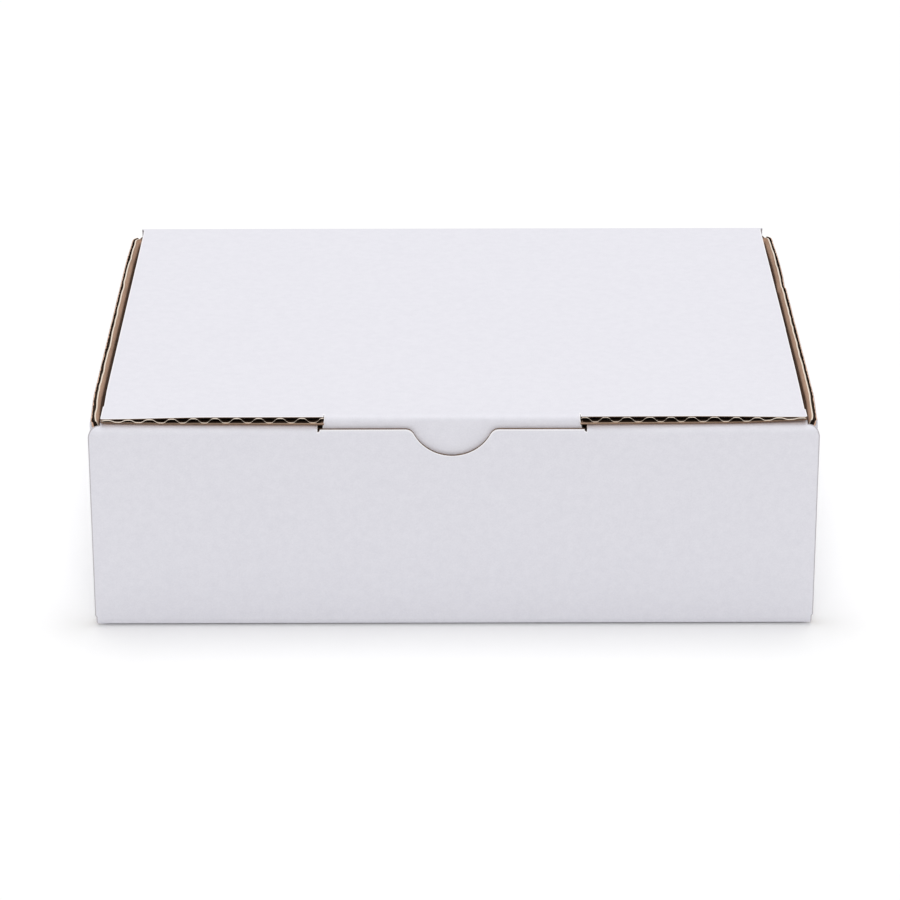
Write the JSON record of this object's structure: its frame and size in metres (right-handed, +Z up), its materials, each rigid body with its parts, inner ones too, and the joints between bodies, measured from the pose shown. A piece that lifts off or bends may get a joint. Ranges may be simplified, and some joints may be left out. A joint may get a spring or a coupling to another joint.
{
  "type": "corrugated mailer box",
  "caption": "Flat shipping box folded from white-lined corrugated board, with a hinged lid whose front tab tucks into a slot in the rolled front wall above a thumb notch.",
  "frame": {"origin": "centre of the box's underside", "axes": "+Z up; the front wall with the slot and thumb notch faces -Y; +X runs along the width, to the right seen from the front"},
  "size_m": [0.2216, 0.181, 0.0685],
  "materials": {
    "white_lined_board": "matte"
  },
  "bodies": {
    "tray": {"tray": "white_lined_board"},
    "lid": {"lid": "white_lined_board"}
  },
  "joints": [
    {"name": "lid_hinge", "type": "hinge", "parent": "tray", "child": "lid", "pos_m": [0, 0.08994, 0.06794], "axis": [-1, 0, 0], "range_deg": [0, 180]}
  ]
}
